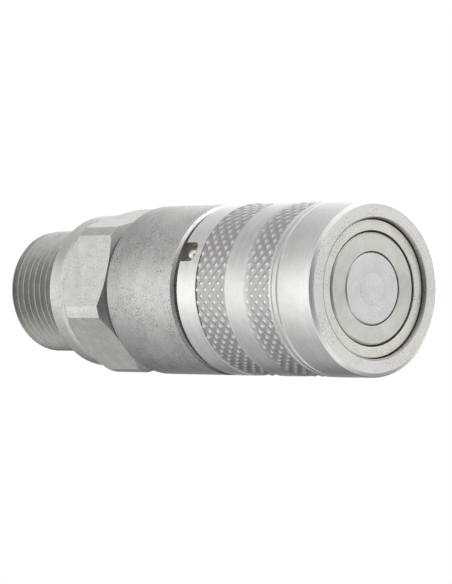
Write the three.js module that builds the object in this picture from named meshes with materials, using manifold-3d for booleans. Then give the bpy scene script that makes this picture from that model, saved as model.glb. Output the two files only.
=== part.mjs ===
// Flat-face hydraulic quick coupler, female half, with a male-threaded hexagon port.
// Millimetres. X runs along the coupler's axis towards the coupling face, Z is up, and
// the origin is the centre of the fixed stem's flat face.
// The sleeve is drawn back, as it stands while nothing is plugged in.
import * as THREE from "three";
import { mergeVertices } from "three/addons/utils/BufferGeometryUtils.js";
import Module from "manifold-3d";

const wasm = await Module();
wasm.setup();

// Facets round a full turn.
const OUTER_FACETS = 36;
const INNER_FACETS = 24;
const THREAD_FACETS = 24;
const SEAL_FACETS = 24;
const HOLE_FACETS = 10;
const BALL_FACETS = [8, 6];
const SEAL_SIDES = 6;
const WIRE_SIDES = 5;

// Clearances between neighbouring pieces.
const SEAT_GAP = 0.3;
const RUNNING_GAP = 0.1;
const SPIGOT_GAP = 0.2;

// How far a cutting solid stands out of the surface that it cuts.
const OVERCUT = 0.5;

// Port adapter: threaded end, collar, hexagon and the spigot inside the rear housing.
const PORT_END = -107.3;
const THREAD_TO = -91.4;
const THREAD_R = 14.05;
const THREAD_ROOT_R = 12.85;
const THREAD_PITCH = 2.03;
const THREAD_LEAD_IN = 0.1;
const THREAD_CHAMFER_R = 12.75;
const THREAD_CHAMFER_SLOPE = 1.3;
const PORT_BORE_R = 8;
const PORT_MOUTH_R = 10.3;
const PORT_CONE_DEG = 12;
const COLLAR_FROM = -88.1;
const COLLAR_R = 17.35;
const HEX_FROM = -83.7;
const HEX_TO = -68.6;
const HEX_ACROSS_FLATS = 34.16;
const HEX_TURN_DEG = 45.2;
const HEX_FRONT_R = 17.2;
const HEX_REAR_CHAMFER = 2.9;
const HEX_FRONT_CHAMFER = 1.1;
const NECK_R = 16;
const NECK_TO = -66.2;
const SPIGOT_MOUTH_FROM = -66;
const SPIGOT_TO = -57.8;
const SPIGOT_MOUTH_R = 12.2;

// Outside diameter shared by the rear housing and the sleeve.
const BODY_R = 19;
const HOUSING_FROM = -65.8;
const HOUSING_TO = -43.4;
const HOUSING_BORE_R = 14.1;
const GUIDE_R = 16.85;
const GUIDE_TO = -35;
const EDGE = 0.6;

// Ball cage: the nose tube that the mating plug enters.
const NOSE_R = 14.8;
const NOSE_BORE_R = 12.4;
const NOSE_SHOULDER = GUIDE_TO + SEAT_GAP;
const CAGE_SPIGOT_R = HOUSING_BORE_R - SPIGOT_GAP;
const CAGE_FROM = -53.7;

// Locking balls, at rest on the valve sleeve.
const BALL_COUNT = 12;
const BALL_R = 2;
const BALL_X = -6;
const BALL_CENTRE_R = 14.35;
const BALL_HOLE_R = 2.15;
const BALL_LIP_R = 1.85;
const BALL_LIP_DEPTH = 0.6;

// Travels: per millimetre that the sleeve springs forward, the balls drop in by
// BALL_DROP and the valve sleeve goes back by VALVE_RATIO.
const BALL_DROP = 0.225;
const VALVE_RATIO = 2.5;

// Locking sleeve.
const SLEEVE_FROM = -41.8;
const SLEEVE_TO = 0.98;
const SLEEVE_BORE_R = 17;
const SLEEVE_FACE_R = 17.8;
const SLEEVE_FACE_CHAMFER = 0.8;
const SLEEVE_LAND_FROM = -12.6;
const SLEEVE_LAND_TO = -10.67;
const SLEEVE_LAND_R = 15.45;
const SLEEVE_RECESS_R = 16.6;
const RAMP_R_AT_BALL = 16.5;
const SLEEVE_RECESS_TO = -2;
const SLEEVE_LIP_R = 15.15;
const KNURL_DEPTH = 0.15;
const REAR_KNURL = [-35.6, -26];
const FRONT_KNURL = [-19.9, -12];
const GROOVE_DEPTH = 0.35;
const REAR_GROOVE = [-11.3, -11];
const FRONT_GROOVE = [-9.7, -9.2];
const NOTCH_DEG = 26.2;
const NOTCH_TO = -37.4;
const NOTCH_HALF_WIDTH = 2.3;
const NOTCH_CORNER_R = 1;

// Ball set in the guide land, which the sleeve's notch passes over.
const LOCK_BALL_R = 1.4;
const LOCK_BALL_X = -39.9;
const LOCK_BALL_DEG = NOTCH_DEG;
const LOCK_BALL_CENTRE_R = 17;
const LOCK_POCKET_R = 1.6;
const LOCK_POCKET_FLOOR_R = 15.2;

// Wire ring that stops the sleeve, and the spring with its washer.
const STOP_RING = { from: -3.3, to: -2.3, inner: 14.1, outer: 16.1, slot: 4 };
const WASHER = { from: -14, to: -12.9, inner: 15.1, outer: 16.8 };
const SLEEVE_SPRING = { from: -34.7, to: -14.3, mean: 15.9, wire: 0.75, turns: 5.5, steps: 16 };

// Valve sleeve: the spring-loaded ring between the stem and the nose.
const VALVE_R = NOSE_BORE_R - RUNNING_GAP;
const VALVE_TO = -30;
const VALVE_LIP_R = 7.95;
const VALVE_LIP_TO = -5;
const VALVE_BORE_R = 10;
const VALVE_SPRING = { from: -53.7, to: -30.3, mean: 10.9, wire: 0.7, turns: 5.5, steps: 12 };

// Fixed stem, the spider that holds it, and its nut.
const STEM_HEAD_R = 7.75;
const STEM_HEAD_TO = -4.8;
const STEM_SHAFT_R = 4.2;
const STEM_CONE_TO = -9;
const STEM_TAIL_R = 3;
const STEM_TAIL_TO = -61.6;
const SPIDER = { from: -57.5, to: -54, outer: 13.9, bore: 3.2, holes: 6, holeR: 2.3, holeAt: 7.7 };
const NUT = { from: -61, to: -57.8, acrossFlats: 8, bore: 3.2 };

// Seals, each a ring of round section, and the flat back-up rings beside two of them.
const STEM_SEAL = { x: -2.4, mean: 6.95, section: 0.7 };
const NOSE_SEAL = { x: -10.15, mean: 13.28, section: 0.68 };
const NOSE_BACKUP = { from: -12, to: -11.2, inner: 12.6, outer: 13.9 };
const BODY_SEAL = { x: -49.2, mean: 14.75, section: 0.68 };
const ADAPTER_SEAL = { x: -63.2, mean: 13.24, section: 0.68 };
const ADAPTER_BACKUP = { from: -65, to: -64.2, inner: 12.6, outer: 13.9 };

// Grooves that hold them: [from, to, floor radius].
const STEM_GROOVE = [-3.4, -1.4, 6.05];
const NOSE_GROOVE = [-12.2, -9.2, 14.1];
const BODY_GROOVE = [-50.3, -48.1, 15.6];
const ADAPTER_GROOVE = [-65.2, -62.2, 12.4];
const STOP_RING_GROOVE = [-3.5, -2.1, 13.9];

// Pitch of a spring's closed end coils, as a multiple of the wire's radius.
const CLOSED_COIL_PITCH = 2.15;

const STEEL = { roughness: 0.42, metalness: 1 };
const FINISH = {
  adapter: { color: 0xbfc0bc, ...STEEL },
  housing: { color: 0xb3b4b0, ...STEEL },
  sleeve: { color: 0xd2d1cd, ...STEEL },
  nose: { color: 0xcac6b6, ...STEEL },
  valve: { color: 0xc6c4bf, ...STEEL },
  stem: { color: 0xcfcdc8, ...STEEL },
  bearing: { color: 0xe2e2e4, roughness: 0.12, metalness: 1 },
  spring: { color: 0x8a8d90, roughness: 0.35, metalness: 1 },
  seal: { color: 0x1b1b1c, roughness: 0.8, metalness: 0 },
  backup: { color: 0xe8e4d8, roughness: 0.6, metalness: 0 },
};

const radians = THREE.MathUtils.degToRad;

// A closed geometry as a solid, turned outside out if its faces point in.
function solidFrom(geometry) {
  const bare = geometry.clone();
  bare.deleteAttribute("normal");
  bare.deleteAttribute("uv");
  const merged = mergeVertices(bare, 1e-5);
  const points = Float32Array.from(merged.attributes.position.array);
  const corners = Uint32Array.from(merged.index.array);
  if (signedVolume(points, corners) < 0) {
    flipFaces(corners);
  }
  return new wasm.Manifold(new wasm.Mesh({ numProp: 3, vertProperties: points, triVerts: corners }));
}

function signedVolume(points, corners) {
  const a = new THREE.Vector3();
  const b = new THREE.Vector3();
  const c = new THREE.Vector3();
  let sum = 0;
  for (let i = 0; i < corners.length; i += 3) {
    a.fromArray(points, 3 * corners[i]);
    b.fromArray(points, 3 * corners[i + 1]);
    c.fromArray(points, 3 * corners[i + 2]);
    sum += a.dot(b.cross(c));
  }
  return sum / 6;
}

function flipFaces(corners) {
  for (let i = 0; i < corners.length; i += 3) {
    const first = corners[i];
    corners[i] = corners[i + 1];
    corners[i + 1] = first;
  }
}

// A geometry from a flat list of coordinates and a flat list of triangle corners.
function indexedGeometry(vertices, corners) {
  const geometry = new THREE.BufferGeometry();
  geometry.setAttribute("position", new THREE.BufferAttribute(Float32Array.from(vertices), 3));
  geometry.setIndex(corners);
  return geometry;
}

// A solid's surface as a geometry.
function geometryFrom(solid) {
  const mesh = solid.getMesh();
  const geometry = new THREE.BufferGeometry();
  geometry.setAttribute("position", new THREE.BufferAttribute(mesh.vertProperties, mesh.numProp));
  geometry.setIndex(new THREE.BufferAttribute(mesh.triVerts, 1));
  geometry.computeVertexNormals();
  return geometry;
}

// Revolves a closed section of [x, radius] corners about the X axis.
function turned(section, facets) {
  const points = section.map(([x, radius]) => new THREE.Vector2(radius, x));
  if (points[0].x > 0 || points.at(-1).x > 0) {
    points.push(points[0].clone());
  }
  const geometry = new THREE.LatheGeometry(points, facets);
  geometry.rotateZ(-Math.PI / 2);
  return solidFrom(geometry);
}

// A plain ring of rectangular section.
function ring({ from, to, inner, outer }, facets) {
  return turned([[from, inner], [from, outer], [to, outer], [to, inner]], facets);
}

// A ring of round section.
function sealRing({ x, mean, section }) {
  const corners = [];
  for (let i = 0; i < SEAL_SIDES; i += 1) {
    const angle = (2 * Math.PI * (i + 0.5)) / SEAL_SIDES;
    corners.push([x + section * Math.cos(angle), mean + section * Math.sin(angle)]);
  }
  return turned(corners, SEAL_FACETS);
}

// A round groove cut into, or out of, a turned piece.
function groove([from, to, floor], surface, facets) {
  return ring({ from, to, inner: Math.min(floor, surface), outer: Math.max(floor, surface) }, facets);
}

// A six-sided bar along X; a corner stands turnDeg above the -Y side.
function hexBar(from, to, acrossFlats, turnDeg) {
  const radius = acrossFlats / 2 / Math.cos(Math.PI / 6);
  const geometry = new THREE.CylinderGeometry(radius, radius, to - from, 6);
  geometry.rotateZ(-Math.PI / 2);
  geometry.rotateX(radians(90 - turnDeg));
  geometry.translate((from + to) / 2, 0, 0);
  return solidFrom(geometry);
}

// Turns a geometry built up the -Y side to the direction deg above it, towards +Z.
function aimUpFromSide(geometry, deg) {
  geometry.rotateX(-radians(deg));
  return geometry;
}

// A radial cutter along -Y, given as [distance from the axis, radius] corners.
function radialCutter(outline, facets) {
  const points = outline.map(([distance, radius]) => new THREE.Vector2(radius, -distance));
  return new THREE.LatheGeometry(points, facets);
}

// The thread's form over one pitch: [share of the pitch, radius].
const THREAD_FORM = [
  [0.1, THREAD_R],
  [0.35, THREAD_ROOT_R],
  [0.65, THREAD_ROOT_R],
  [0.9, THREAD_R],
];

// Column j of the thread's row k, held in by the chamfer at the port's end.
function threadPoint(k, j, facets) {
  const [share, radius] = THREAD_FORM[k % THREAD_FORM.length];
  const turn = share + Math.floor(k / THREAD_FORM.length) + j / facets;
  const x = PORT_END + THREAD_LEAD_IN + turn * THREAD_PITCH;
  const allowed = THREAD_CHAMFER_R + (x - PORT_END) * THREAD_CHAMFER_SLOPE;
  return [x, Math.min(radius, allowed), (2 * Math.PI * j) / facets];
}

// External helical thread with a flat disc at each end. Row k starts at column 0 and
// rises by one pitch in a full turn, so the first vertex of the row one pitch on closes it.
function threadSolid(facets) {
  const perPitch = THREAD_FORM.length;
  const turns = Math.floor((THREAD_TO - PORT_END - THREAD_LEAD_IN) / THREAD_PITCH);
  const lastRow = (turns - 1) * perPitch;
  const vertices = [];
  const faces = [];
  const add = ([x, radius, angle]) => {
    vertices.push(x, radius * Math.cos(angle), radius * Math.sin(angle));
    return vertices.length / 3 - 1;
  };
  const row = (k, columns) => Array.from({ length: columns }, (_, j) => add(threadPoint(k, j, facets)));
  const grid = Array.from({ length: lastRow + perPitch + 1 }, (_, k) => row(k, k <= lastRow ? facets : 1));
  const at = (k, j) => (j === facets ? grid[k + perPitch][0] : grid[k][j]);
  const disc = (x, radius) => {
    const rim = Array.from({ length: facets }, (_, j) => add([x, radius, (2 * Math.PI * j) / facets]));
    return { rim, centre: add([x, 0, 0]) };
  };
  const rear = disc(PORT_END, THREAD_CHAMFER_R);
  const front = disc(THREAD_TO + THREAD_LEAD_IN, THREAD_ROOT_R);
  for (let j = 0; j < facets; j += 1) {
    const next = (j + 1) % facets;
    faces.push(rear.centre, rear.rim[j], rear.rim[next]);
    faces.push(rear.rim[j], at(0, j), at(0, j + 1), rear.rim[j], at(0, j + 1), rear.rim[next]);
    for (let k = 0; k < lastRow; k += 1) {
      faces.push(at(k, j), at(k + 1, j), at(k + 1, j + 1), at(k, j), at(k + 1, j + 1), at(k, j + 1));
    }
    faces.push(at(lastRow, j), front.rim[j], front.rim[next]);
    faces.push(at(lastRow, j), front.rim[next], at(lastRow, j + 1));
    faces.push(front.rim[j], front.centre, front.rim[next]);
  }
  for (let k = 0; k < perPitch; k += 1) {
    faces.push(rear.rim[0], grid[k + 1][0], grid[k][0]);
    faces.push(front.rim[0], grid[lastRow + k][0], grid[lastRow + k + 1][0]);
  }
  return solidFrom(indexedGeometry(vertices, faces));
}

// A coil spring with closed end coils, as a wire swept along its helix.
function coilSpring({ from, to, mean, wire, turns, steps }) {
  const sides = WIRE_SIDES;
  const deadPitch = CLOSED_COIL_PITCH * wire;
  const first = from + wire;
  const last = to - wire;
  const openPitch = (last - first - 2 * deadPitch) / (turns - 2);
  const axial = (turn) => {
    if (turn < 1) {
      return first + deadPitch * turn;
    }
    if (turn > turns - 1) {
      return last - deadPitch * (turns - turn);
    }
    return first + deadPitch + openPitch * (turn - 1);
  };
  const stations = Math.round(turns * steps);
  const vertices = [];
  for (let i = 0; i <= stations; i += 1) {
    const turn = (turns * i) / stations;
    const angle = 2 * Math.PI * turn;
    for (let s = 0; s < sides; s += 1) {
      const around = (2 * Math.PI * s) / sides;
      const radius = mean + wire * Math.cos(around);
      const x = axial(turn) + wire * Math.sin(around);
      vertices.push(x, radius * Math.cos(angle), radius * Math.sin(angle));
    }
  }
  const faces = [];
  for (let i = 0; i < stations; i += 1) {
    for (let s = 0; s < sides; s += 1) {
      const next = (s + 1) % sides;
      const a = i * sides + s;
      const b = i * sides + next;
      faces.push(a, b, b + sides, a, b + sides, a + sides);
    }
  }
  for (let s = 1; s < sides - 1; s += 1) {
    const base = stations * sides;
    faces.push(0, s + 1, s, base, base + s, base + s + 1);
  }
  return solidFrom(indexedGeometry(vertices, faces));
}

// Threaded port, collar, hexagon and spigot in one piece, bored through.
function portAdapter() {
  const blank = turned([
    [THREAD_TO - THREAD_LEAD_IN, 0],
    [THREAD_TO - THREAD_LEAD_IN, THREAD_ROOT_R],
    [COLLAR_FROM, THREAD_ROOT_R],
    [COLLAR_FROM, COLLAR_R - EDGE],
    [COLLAR_FROM + EDGE, COLLAR_R],
    [HEX_FROM, COLLAR_R],
    [HEX_FROM + HEX_REAR_CHAMFER, BODY_R],
    [HEX_TO - HEX_FRONT_CHAMFER, BODY_R],
    [HEX_TO, HEX_FRONT_R],
    [HEX_TO, NECK_R],
    [NECK_TO, NECK_R],
    [NECK_TO, CAGE_SPIGOT_R],
    [SPIGOT_TO, CAGE_SPIGOT_R],
    [SPIGOT_TO, 0],
  ], OUTER_FACETS);
  const insideFlats = HEX_ACROSS_FLATS / 2 - OVERCUT;
  const aroundHex = { from: HEX_FROM, to: HEX_TO, inner: insideFlats, outer: BODY_R + OVERCUT };
  const outsideHex = ring(aroundHex, OUTER_FACETS)
    .subtract(hexBar(HEX_FROM - OVERCUT, HEX_TO + OVERCUT, HEX_ACROSS_FLATS, HEX_TURN_DEG));
  const coneDepth = (PORT_MOUTH_R - PORT_BORE_R) / Math.tan(radians(PORT_CONE_DEG));
  const bore = turned([
    [PORT_END - OVERCUT, 0],
    [PORT_END - OVERCUT, PORT_MOUTH_R],
    [PORT_END, PORT_MOUTH_R],
    [PORT_END + coneDepth, PORT_BORE_R],
    [SPIGOT_MOUTH_FROM, PORT_BORE_R],
    [SPIGOT_TO, SPIGOT_MOUTH_R],
    [SPIGOT_TO + OVERCUT, SPIGOT_MOUTH_R],
    [SPIGOT_TO + OVERCUT, 0],
  ], INNER_FACETS);
  return blank
    .subtract(outsideHex)
    .add(threadSolid(THREAD_FACETS))
    .subtract(bore)
    .subtract(groove(ADAPTER_GROOVE, CAGE_SPIGOT_R + OVERCUT, OUTER_FACETS));
}

// Rear housing: the plain barrel behind the sleeve, with the land that guides the sleeve.
function rearHousing() {
  const barrel = turned([
    [HOUSING_FROM, HOUSING_BORE_R],
    [HOUSING_FROM, BODY_R - EDGE],
    [HOUSING_FROM + EDGE, BODY_R],
    [HOUSING_TO - EDGE, BODY_R],
    [HOUSING_TO, BODY_R - EDGE],
    [HOUSING_TO, GUIDE_R],
    [GUIDE_TO, GUIDE_R],
    [GUIDE_TO, HOUSING_BORE_R],
  ], OUTER_FACETS);
  const pocket = radialCutter([
    [LOCK_POCKET_FLOOR_R, 0],
    [LOCK_POCKET_FLOOR_R, LOCK_POCKET_R],
    [BODY_R, LOCK_POCKET_R],
    [BODY_R, 0],
  ], HOLE_FACETS);
  aimUpFromSide(pocket, LOCK_BALL_DEG).translate(LOCK_BALL_X, 0, 0);
  return barrel
    .subtract(groove(BODY_GROOVE, HOUSING_BORE_R - OVERCUT, OUTER_FACETS))
    .subtract(solidFrom(pocket));
}

// Nose tube with tapered radial holes, so that the balls can't fall through.
function ballCage() {
  const tube = turned([
    [CAGE_FROM, NOSE_BORE_R],
    [CAGE_FROM, CAGE_SPIGOT_R],
    [NOSE_SHOULDER, CAGE_SPIGOT_R],
    [NOSE_SHOULDER, NOSE_R],
    [-EDGE / 2, NOSE_R],
    [0, NOSE_R - EDGE / 2],
    [0, NOSE_BORE_R + EDGE / 2],
    [-EDGE / 2, NOSE_BORE_R],
  ], OUTER_FACETS);
  let cage = tube
    .subtract(groove(NOSE_GROOVE, NOSE_BORE_R - OVERCUT, OUTER_FACETS))
    .subtract(groove(STOP_RING_GROOVE, NOSE_R + OVERCUT, OUTER_FACETS));
  for (let i = 0; i < BALL_COUNT; i += 1) {
    const hole = radialCutter([
      [NOSE_BORE_R - OVERCUT, 0],
      [NOSE_BORE_R - OVERCUT, BALL_LIP_R],
      [NOSE_BORE_R, BALL_LIP_R],
      [NOSE_BORE_R + BALL_LIP_DEPTH, BALL_HOLE_R],
      [NOSE_R + OVERCUT, BALL_HOLE_R],
      [NOSE_R + OVERCUT, 0],
    ], HOLE_FACETS);
    aimUpFromSide(hole, (360 * i) / BALL_COUNT).translate(BALL_X, 0, 0);
    cage = cage.subtract(solidFrom(hole));
  }
  return cage;
}

// A ball centred at a distance from the axis, deg above the -Y side.
function ballAt(x, centreR, deg, radius) {
  const geometry = new THREE.SphereGeometry(radius, ...BALL_FACETS);
  geometry.translate(0, -centreR, 0);
  aimUpFromSide(geometry, deg).translate(x, 0, 0);
  return solidFrom(geometry);
}

// The notch's outline in plan, extruded radially through the sleeve's wall.
function notchCutter() {
  const shape = new THREE.Shape();
  const w = NOTCH_HALF_WIDTH;
  const c = NOTCH_CORNER_R;
  shape.moveTo(SLEEVE_FROM - OVERCUT, -w);
  shape.lineTo(NOTCH_TO - c, -w);
  shape.absarc(NOTCH_TO - c, -w + c, c, -Math.PI / 2, 0, false);
  shape.lineTo(NOTCH_TO, w - c);
  shape.absarc(NOTCH_TO - c, w - c, c, 0, Math.PI / 2, false);
  shape.lineTo(SLEEVE_FROM - OVERCUT, w);
  const depth = 2 * (BODY_R - SLEEVE_BORE_R + OVERCUT);
  const geometry = new THREE.ExtrudeGeometry(shape, { depth, bevelEnabled: false, curveSegments: 4 });
  geometry.rotateX(Math.PI / 2);
  geometry.translate(0, depth - BODY_R - OVERCUT, 0);
  return solidFrom(aimUpFromSide(geometry, NOTCH_DEG));
}

// Knurled locking sleeve. Its inside carries the spring chamber, the land that holds
// the balls in, the ramp they ride down, and the lip round the nose.
function lockingSleeve() {
  const knurlR = BODY_R - KNURL_DEPTH;
  const grooveR = BODY_R - GROOVE_DEPTH;
  const rampTopX = BALL_X + (SLEEVE_RECESS_R - RAMP_R_AT_BALL) / BALL_DROP;
  const shell = turned([
    [SLEEVE_FROM, SLEEVE_BORE_R],
    [SLEEVE_FROM, BODY_R - EDGE / 2],
    [SLEEVE_FROM + EDGE / 2, BODY_R],
    [REAR_KNURL[0], BODY_R],
    [REAR_KNURL[0], knurlR],
    [REAR_KNURL[1], knurlR],
    [REAR_KNURL[1], BODY_R],
    [FRONT_KNURL[0], BODY_R],
    [FRONT_KNURL[0], knurlR],
    [FRONT_KNURL[1], knurlR],
    [REAR_GROOVE[0], knurlR],
    [REAR_GROOVE[0], grooveR],
    [REAR_GROOVE[1], grooveR],
    [FRONT_GROOVE[0], BODY_R],
    [FRONT_GROOVE[0], grooveR],
    [FRONT_GROOVE[1], grooveR],
    [FRONT_GROOVE[1], BODY_R],
    [SLEEVE_TO - SLEEVE_FACE_CHAMFER, BODY_R],
    [SLEEVE_TO, SLEEVE_FACE_R],
    [SLEEVE_TO, SLEEVE_LIP_R + EDGE / 3],
    [SLEEVE_TO - EDGE / 3, SLEEVE_LIP_R],
    [SLEEVE_RECESS_TO + SLEEVE_RECESS_R - SLEEVE_LIP_R, SLEEVE_LIP_R],
    [SLEEVE_RECESS_TO, SLEEVE_RECESS_R],
    [rampTopX, SLEEVE_RECESS_R],
    [SLEEVE_LAND_TO, SLEEVE_LAND_R],
    [SLEEVE_LAND_FROM, SLEEVE_LAND_R],
    [SLEEVE_LAND_FROM, SLEEVE_BORE_R],
  ], OUTER_FACETS);
  return shell.subtract(notchCutter());
}

// Split wire ring in the nose tube's groove, in front of the balls.
function sleeveStopRing() {
  const length = STOP_RING.to - STOP_RING.from + 2 * OVERCUT;
  const reach = 2 * (STOP_RING.outer - STOP_RING.inner + OVERCUT);
  const gap = new THREE.BoxGeometry(length, reach, STOP_RING.slot);
  gap.translate((STOP_RING.from + STOP_RING.to) / 2, STOP_RING.outer, 0);
  return ring(STOP_RING, OUTER_FACETS).subtract(solidFrom(gap));
}

// Valve sleeve: tapers to its face along the line that the dropping balls follow.
function valveSleeve() {
  const faceR = VALVE_R + (BALL_DROP / VALVE_RATIO) * BALL_X;
  return turned([
    [0, VALVE_LIP_R + EDGE / 3],
    [0, faceR - EDGE / 6],
    [-EDGE / 6, faceR],
    [BALL_X, VALVE_R],
    [VALVE_TO, VALVE_R],
    [VALVE_TO, VALVE_BORE_R],
    [VALVE_LIP_TO, VALVE_BORE_R],
    [VALVE_LIP_TO, VALVE_LIP_R],
    [-EDGE / 3, VALVE_LIP_R],
  ], OUTER_FACETS);
}

// Fixed stem: flat head, cone, shaft and the threaded tail.
function centreStem() {
  const shoulder = SPIDER.to + SEAT_GAP;
  const bar = turned([
    [STEM_TAIL_TO, 0],
    [STEM_TAIL_TO, STEM_TAIL_R],
    [shoulder, STEM_TAIL_R],
    [shoulder, STEM_SHAFT_R],
    [STEM_CONE_TO, STEM_SHAFT_R],
    [STEM_HEAD_TO, STEM_HEAD_R],
    [-EDGE / 3, STEM_HEAD_R],
    [0, STEM_HEAD_R - EDGE / 3],
    [0, 0],
  ], INNER_FACETS);
  return bar.subtract(groove(STEM_GROOVE, STEM_HEAD_R + OVERCUT, INNER_FACETS));
}

// Spider with flow holes, clamped between the cage and the adapter.
function stemSpider() {
  const { from, to, bore, outer } = SPIDER;
  let disc = ring({ from, to, inner: bore, outer }, INNER_FACETS);
  for (let i = 0; i < SPIDER.holes; i += 1) {
    const angle = (2 * Math.PI * (i + 0.5)) / SPIDER.holes;
    const length = to - from + 2 * OVERCUT;
    const hole = new THREE.CylinderGeometry(SPIDER.holeR, SPIDER.holeR, length, HOLE_FACETS);
    hole.rotateZ(Math.PI / 2);
    hole.translate((from + to) / 2, SPIDER.holeAt * Math.cos(angle), SPIDER.holeAt * Math.sin(angle));
    disc = disc.subtract(solidFrom(hole));
  }
  return disc;
}

// Plain nut that holds the stem to the spider.
function stemNut() {
  const bore = { from: NUT.from - OVERCUT, to: NUT.to + OVERCUT, inner: 0, outer: NUT.bore };
  return hexBar(NUT.from, NUT.to, NUT.acrossFlats, 0).subtract(ring(bore, INNER_FACETS));
}

const coupler = new THREE.Group();

function addPiece(group, name, solid, finish) {
  const mesh = new THREE.Mesh(geometryFrom(solid), new THREE.MeshStandardMaterial(FINISH[finish]));
  mesh.name = name;
  group.add(mesh);
}

function addGroup() {
  const group = new THREE.Group();
  coupler.add(group);
  return group;
}

const body = addGroup();
addPiece(body, "port_adapter", portAdapter(), "adapter");
addPiece(body, "rear_housing", rearHousing(), "housing");
addPiece(body, "ball_cage", ballCage(), "nose");
addPiece(body, "center_stem", centreStem(), "stem");
addPiece(body, "stem_spider", stemSpider(), "stem");
addPiece(body, "stem_nut", stemNut(), "stem");
addPiece(body, "sleeve_stop_ring", sleeveStopRing(), "spring");
const lockBall = ballAt(LOCK_BALL_X, LOCK_BALL_CENTRE_R, LOCK_BALL_DEG, LOCK_BALL_R);
addPiece(body, "sleeve_lock_ball", lockBall, "bearing");
addPiece(body, "stem_o_ring", sealRing(STEM_SEAL), "seal");
addPiece(body, "nose_o_ring", sealRing(NOSE_SEAL), "seal");
addPiece(body, "nose_backup_ring", ring(NOSE_BACKUP, SEAL_FACETS), "backup");
addPiece(body, "body_o_ring", sealRing(BODY_SEAL), "seal");
addPiece(body, "adapter_o_ring", sealRing(ADAPTER_SEAL), "seal");
addPiece(body, "adapter_backup_ring", ring(ADAPTER_BACKUP, SEAL_FACETS), "backup");

const sleeveParts = addGroup();
addPiece(sleeveParts, "locking_sleeve", lockingSleeve(), "sleeve");
addPiece(sleeveParts, "sleeve_spring_washer", ring(WASHER, INNER_FACETS), "stem");
addPiece(sleeveParts, "sleeve_spring", coilSpring(SLEEVE_SPRING), "spring");

const valveParts = addGroup();
addPiece(valveParts, "valve_sleeve", valveSleeve(), "valve");
addPiece(valveParts, "valve_spring", coilSpring(VALVE_SPRING), "spring");

const ballParts = addGroup();
for (let i = 0; i < BALL_COUNT; i += 1) {
  const name = `locking_ball_${String(i + 1).padStart(2, "0")}`;
  addPiece(ballParts, name, ballAt(BALL_X, BALL_CENTRE_R, (360 * i) / BALL_COUNT, BALL_R), "bearing");
}

export default coupler;
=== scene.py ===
"""Flat-face hydraulic quick coupler, socket half: the fine surfaces, materials, light and camera.

Sizes are in millimetres and are turned into metres when a mesh is made; only the floor's width and
the camera's place are in metres. X is the coupler's axis.
"""

import math

import bmesh
import bpy
import numpy as np
from mathutils import Matrix, Vector


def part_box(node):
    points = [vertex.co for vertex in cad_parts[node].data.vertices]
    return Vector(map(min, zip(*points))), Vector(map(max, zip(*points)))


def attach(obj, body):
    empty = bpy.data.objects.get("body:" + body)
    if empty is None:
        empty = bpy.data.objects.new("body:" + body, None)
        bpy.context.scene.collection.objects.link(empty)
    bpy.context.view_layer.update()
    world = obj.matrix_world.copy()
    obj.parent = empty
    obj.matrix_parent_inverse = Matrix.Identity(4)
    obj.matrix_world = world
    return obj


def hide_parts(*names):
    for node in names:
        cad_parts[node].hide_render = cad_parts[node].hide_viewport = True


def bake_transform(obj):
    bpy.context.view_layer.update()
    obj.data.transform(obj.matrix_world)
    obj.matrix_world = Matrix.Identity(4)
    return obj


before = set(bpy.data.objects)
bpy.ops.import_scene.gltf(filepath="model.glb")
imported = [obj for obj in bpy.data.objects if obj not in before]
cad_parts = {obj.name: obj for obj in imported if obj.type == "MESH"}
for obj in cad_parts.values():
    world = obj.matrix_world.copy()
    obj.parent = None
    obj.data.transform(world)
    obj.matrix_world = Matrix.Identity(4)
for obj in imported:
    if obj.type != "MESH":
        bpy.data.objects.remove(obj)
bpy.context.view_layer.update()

MM = 0.001
FINE_FACETS = 288
CUT_PAST = 1.0

# Nose tube, housing and sleeve.
NOSE_BORE_R = 12.4
SPIGOT_R = 13.9
SEAL_GROOVE_R = 14.1
STOP_GROOVE_R = 13.9
HOUSING_BORE_R = 14.1
HOUSING_SEAL_R = 15.6
HOUSING_TO_SLEEVE = 1.6
HOUSING_CHAMFER = 0.6
GUIDE_R = 16.85
SLEEVE_BORE_R = 17.0
SLEEVE_LAND_R = 15.45
SLEEVE_RECESS_R = 16.6
SLEEVE_LIP_R = 15.0
SLEEVE_LIP_CHAMFER = 0.16
NOTCH_DEG = 26.2
NOTCH_HALF_WIDTH = 2.3
NOTCH_DEPTH = 4.4
NOTCH_CORNER_R = 1.5
KNURL_COUNT = 43
KNURL_STEPS = 10
KNURL_DEPTH = 0.26

# Balls. A ball drops by a share of the sleeve's travel, on a ramp of the same slope.
BALL_COUNT = 12
BALL_R = 2.0
BALL_HOLE_R = 2.1
BALL_HOLE_LIP_R = 1.78
BALL_DROP = 0.225
BALL_RAMP_R = 16.5
LOCK_BALL_R = 1.4
LOCK_BALL_SEAT_R = 1.6
LOCK_BALL_SEAT_FLOOR = 15.2

# Valve sleeve and stem.
VALVE_RATIO = 2.5
VALVE_LIP_R = 7.95
VALVE_BORE_R = 10.0
VALVE_LIP_DEPTH = 5.0
VALVE_CHAMFER = 0.35
VALVE_FACE_EXTRA = 0.27
STEM_HEAD_R = 7.75
STEM_SEAL_R = 6.05
STEM_SHAFT_R = 4.2
STEM_TAIL_R = 3.0
STEM_HEAD_DEPTH = 4.8
STEM_CONE_DEPTH = 9.0
STEM_CHAMFER = 0.28
STEM_RING_R = 3.6

# Port adapter.
PORT_BORE_R = 8.0
PORT_MOUTH_R = 10.3
PORT_MOUTH_DEG = 12
PORT_INNER_R = 12.2
PORT_GROOVE_R = 12.4
THREAD_R = 14.05
THREAD_ROOT_R = 12.85
THREAD_PITCH = 2.03
THREAD_LEAD_IN = 0.1
THREAD_CHAMFER = 1.3
COLLAR_R = 17.35
HEX_ACROSS_FLATS = 34.16
HEX_TURN_DEG = 45.2
HEX_CHAMFER_R = 16.9
NECK_R = 16.0

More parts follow.
